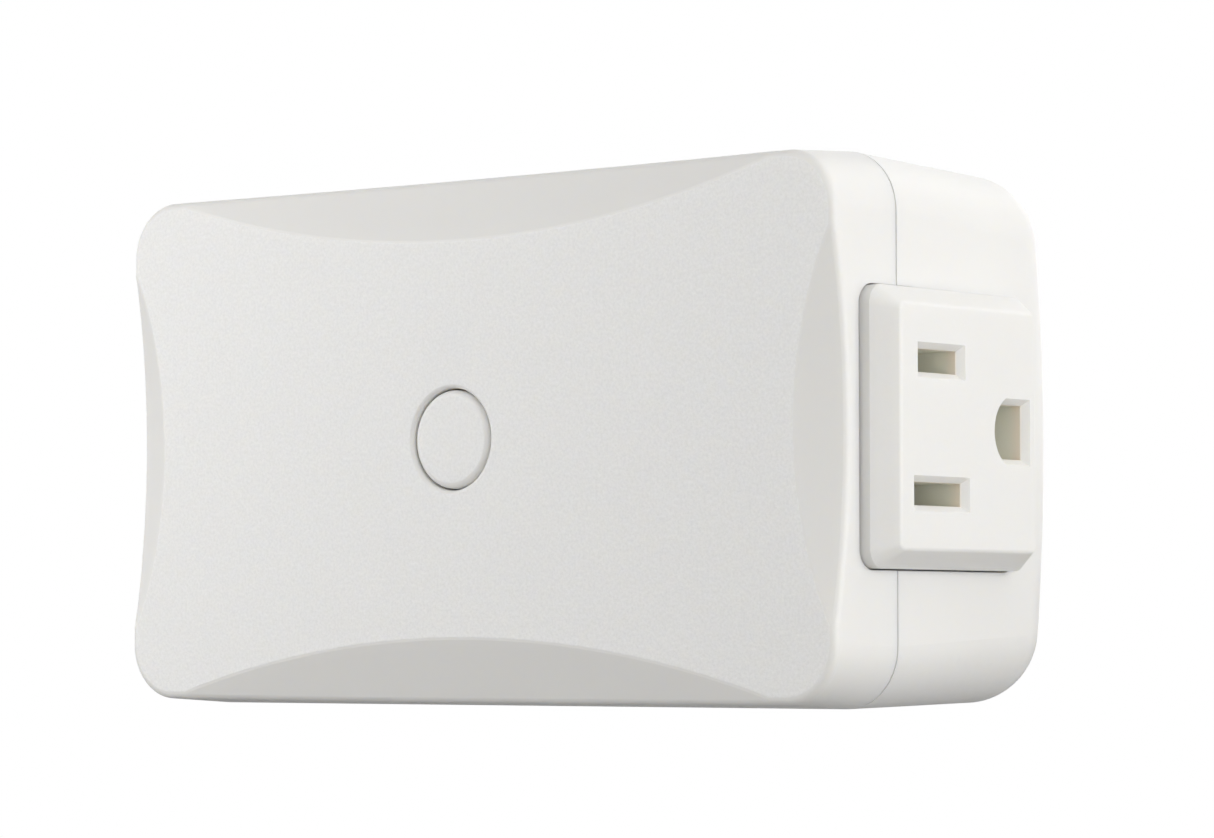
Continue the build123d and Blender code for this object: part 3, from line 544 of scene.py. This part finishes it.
class DIMMER_OT_plug(Operator):
    """Finish of the blades, the ground pin and the block that holds them"""

    bl_idname = "dimmer.plug"
    bl_label = "Plug"

    def execute(self, context):
        finish = context.scene.dimmer_finish
        brass = metal("blade_brass", finish.brass, roughness=0.4, stretch=(1.0, 0.12, 1.0))
        dress(brass, "hot_blade", "neutral_blade", "ground_pin")
        dress(plastic("carrier_plastic", finish.insulator, roughness=0.5), "blade_carrier")
        return {"FINISHED"}


class DIMMER_OT_leads(Operator):
    """Finish of the leads and the antenna"""

    bl_idname = "dimmer.leads"
    bl_label = "Leads"

    def execute(self, context):
        finish = context.scene.dimmer_finish
        dress(plastic("black_lead", finish.lead_black, roughness=0.4), "hot_wire", "antenna")
        dress(plastic("white_lead", finish.lead_white, roughness=0.4), "neutral_wire")
        dress(plastic("green_lead", finish.lead_green, roughness=0.4), "ground_wire")
        return {"FINISHED"}


class DIMMER_OT_boards(Operator):
    """Finish of the circuit boards and the small parts on them"""

    bl_idname = "dimmer.boards"
    bl_label = "Boards"

    def execute(self, context):
        finish = context.scene.dimmer_finish
        for node in ("power_board", "control_board", "radio_module"):
            dress(board(finish, node + "_mask", node), node)
        dress(plastic("header_plastic", finish.insulator, roughness=0.4), "header_base")
        dress(metal("pin_gold", finish.gold, roughness=0.2), "header_pins")
        shield = metal("shield_tin", finish.tin, roughness=0.25, stretch=(0.2, 1.0, 1.0))
        dress(shield, "radio_shield")
        dress(plastic("chip_epoxy", finish.chip, roughness=0.55), "control_chip")
        dress(lens("indicator_lens", finish.indicator), "status_led", "light_pipe")
        return {"FINISHED"}


class DIMMER_OT_power(Operator):
    """Finish of the power parts: dimming element, choke, capacitors, fuse and transformer"""

    bl_idname = "dimmer.power"
    bl_label = "Power parts"

    def execute(self, context):
        finish = context.scene.dimmer_finish
        cooler = metal("cooler_aluminium", finish.aluminium, roughness=0.38, stretch=(0.1, 1.0, 1.0))
        dress(cooler, "heat_sink")
        dress(plastic("epoxy", finish.epoxy, roughness=0.5), "triac", "bridge_rectifier")
        dress(plastic("core_paint", finish.core, roughness=0.35, depth=PAINT_DEPTH), "choke_core")
        dress(winding("copper_winding", finish.copper, CHOKE_PITCH, X), "choke_winding")
        dress(plastic("film_case", finish.film, roughness=0.3), "film_capacitor")
        dress(plastic("sleeve", finish.sleeve, roughness=0.25), "electrolytic_capacitor")
        dress(plastic("varistor_coat", finish.varistor, roughness=0.2, depth=DIP_DEPTH), "varistor")
        dress(glass("fuse_glass", finish.glass), "fuse_body")
        dress(metal("cap_tin", finish.tin, roughness=0.2), "fuse_caps")
        dress(plastic("ferrite", finish.ferrite, roughness=0.6, depth=FERRITE_DEPTH), "transformer_core")
        dress(winding("coil_tape", finish.tape, COIL_PITCH, Z), "transformer_coil")
        return {"FINISHED"}


class DIMMER_OT_screws(Operator):
    """Finish of all the screws"""

    bl_idname = "dimmer.screws"
    bl_label = "Screws"

    def execute(self, context):
        steel = metal("screw_steel", context.scene.dimmer_finish.steel, roughness=0.3)
        dress(steel, "triac_screw", "housing_screws", "power_board_screws", "control_board_screws")
        return {"FINISHED"}


class DIMMER_OT_stage(Operator):
    """Floor, lamps, sky and camera"""

    bl_idname = "dimmer.stage"
    bl_label = "Stage"

    def execute(self, context):
        light = context.scene.dimmer_light
        make_sky(context.scene, light.sky)
        make_floor(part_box("rear_housing")[0][Z] - light.floor_drop, light)
        for name, turn, height, distance, size, power in LAMPS:
            make_lamp(name, turn, height, distance, size, power * light.lamps)
        make_camera(context.scene)
        context.scene.view_settings.view_transform = "Standard"
        return {"FINISHED"}


def make_sky(scene, strength):
    """Even light all round, which the camera, mirrors and clear parts see as white."""
    world = bpy.data.worlds.new("studio")
    scene.world = world
    graph = Graph(world)
    through = graph.math("MAXIMUM", graph.ray("Is Glossy Ray"), graph.ray("Is Transmission Ray"))
    white = graph.math("MAXIMUM", graph.ray("Is Camera Ray"), through)
    sockets = {"Color": WHITE, "Strength": between(white, strength, 1.0)}
    graph.end(graph.node("ShaderNodeBackground", {}, sockets), "ShaderNodeOutputWorld")


def floor_white(light):
    """Pale floor that keeps the object's shadow, and that the camera sees turn white far away."""
    graph = new_graph("floor_white")
    far = graph.node("ShaderNodeVectorMath", {"operation": "LENGTH"}, {0: graph.place()}, "Value")
    plain = graph.node("ShaderNodeBsdfDiffuse", {}, {"Color": rgba((FLOOR_GREY,) * 3)})
    pale = graph.node("ShaderNodeBsdfDiffuse", {}, {"Color": rgba((FLOOR_PALE,) * 3)})
    white = graph.node("ShaderNodeEmission", {}, {"Color": WHITE, "Strength": 1.0})
    glow = between(graph.step(far, light.floor_near, light.floor_far), FLOOR_GLOW, 1.0)
    seen = graph.node("ShaderNodeMixShader", {}, {0: glow, 1: pale, 2: white})
    graph.end(graph.node("ShaderNodeMixShader", {}, {0: graph.ray("Is Camera Ray"), 1: plain, 2: seen}))
    return graph.owner


def make_floor(level, light):
    """A square floor at a level below the case."""
    mesh = bpy.data.meshes.new("floor")
    shape = bmesh.new()
    bmesh.ops.create_grid(shape, x_segments=1, y_segments=1, size=FLOOR_REACH)
    bmesh.ops.translate(shape, verts=shape.verts, vec=(0.0, 0.0, level))
    shape.to_mesh(mesh)
    shape.free()
    mesh.materials.append(floor_white(light))
    floor = bpy.data.objects.new("floor", mesh)
    bpy.context.scene.collection.objects.link(floor)


def make_lamp(name, turn, height, distance, size, power):
    """A soft square lamp aimed at the middle of the case."""
    data = bpy.data.lights.new(name, "AREA")
    data.shape = "SQUARE"
    data.size = size
    data.energy = power
    lamp = bpy.data.objects.new(name, data)
    bpy.context.scene.collection.objects.link(lamp)
    turn, height = math.radians(turn), math.radians(height)
    level = math.cos(height)
    place = distance * Vector((math.sin(turn) * level, -math.cos(turn) * level, math.sin(height)))
    low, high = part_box("rear_housing")
    lamp.location = (low + high) / 2 + place
    lamp.rotation_euler = (-place).to_track_quat("-Z", "Y").to_euler()


def make_camera(scene):
    """Camera at the photograph's place, turned and tipped as there."""
    turn, tip, roll = (math.radians(angle) for angle in (CAMERA_TURN, CAMERA_TIP, CAMERA_ROLL))
    ahead = Vector((-math.sin(turn) * math.cos(tip), math.cos(turn) * math.cos(tip), math.sin(tip)))
    level = Vector((math.cos(turn), math.sin(turn), 0.0))
    upright = level.cross(ahead)
    right = level * math.cos(roll) + upright * math.sin(roll)
    up = upright * math.cos(roll) - level * math.sin(roll)
    data = bpy.data.cameras.new("camera")
    data.sensor_width = CAMERA_SENSOR
    data.lens = CAMERA_LENS
    camera = bpy.data.objects.new("camera", data)
    scene.collection.objects.link(camera)
    place = CAMERA_AIM + level * CAMERA_AIM_RIGHT - ahead * CAMERA_REACH
    camera.matrix_world = Matrix.Translation(place) @ Matrix((right, up, -ahead)).transposed().to_4x4()
    scene.camera = camera


class DIMMER_PT_panel(Panel):
    """Lists the dimmer's steps and settings"""

    bl_idname = "DIMMER_PT_panel"
    bl_label = "Plug in dimmer"
    bl_space_type = "VIEW_3D"
    bl_region_type = "UI"
    bl_category = "Dimmer"

    def draw(self, context):
        for operator in operators:
            self.layout.operator(operator.bl_idname)
        for settings in (context.scene.dimmer_finish, context.scene.dimmer_light):
            for name in settings.__annotations__:
                self.layout.prop(settings, name)


operators = (
    DIMMER_OT_case,
    DIMMER_OT_button,
    DIMMER_OT_socket,
    DIMMER_OT_plug,
    DIMMER_OT_leads,
    DIMMER_OT_boards,
    DIMMER_OT_power,
    DIMMER_OT_screws,
    DIMMER_OT_stage,
)
classes = (DimmerFinish, DimmerLight, *operators, DIMMER_PT_panel)


def register():
    for made in classes:
        bpy.utils.register_class(made)
    bpy.types.Scene.dimmer_finish = PointerProperty(type=DimmerFinish)
    bpy.types.Scene.dimmer_light = PointerProperty(type=DimmerLight)


def unregister():
    del bpy.types.Scene.dimmer_light
    del bpy.types.Scene.dimmer_finish
    for made in reversed(classes):
        bpy.utils.unregister_class(made)


def main():
    """Runs every step."""
    register()
    bpy.ops.dimmer.case()
    bpy.ops.dimmer.button()
    bpy.ops.dimmer.socket()
    bpy.ops.dimmer.plug()
    bpy.ops.dimmer.leads()
    bpy.ops.dimmer.boards()
    bpy.ops.dimmer.power()
    bpy.ops.dimmer.screws()
    bpy.ops.dimmer.stage()


if __name__ == "__main__":
    main()
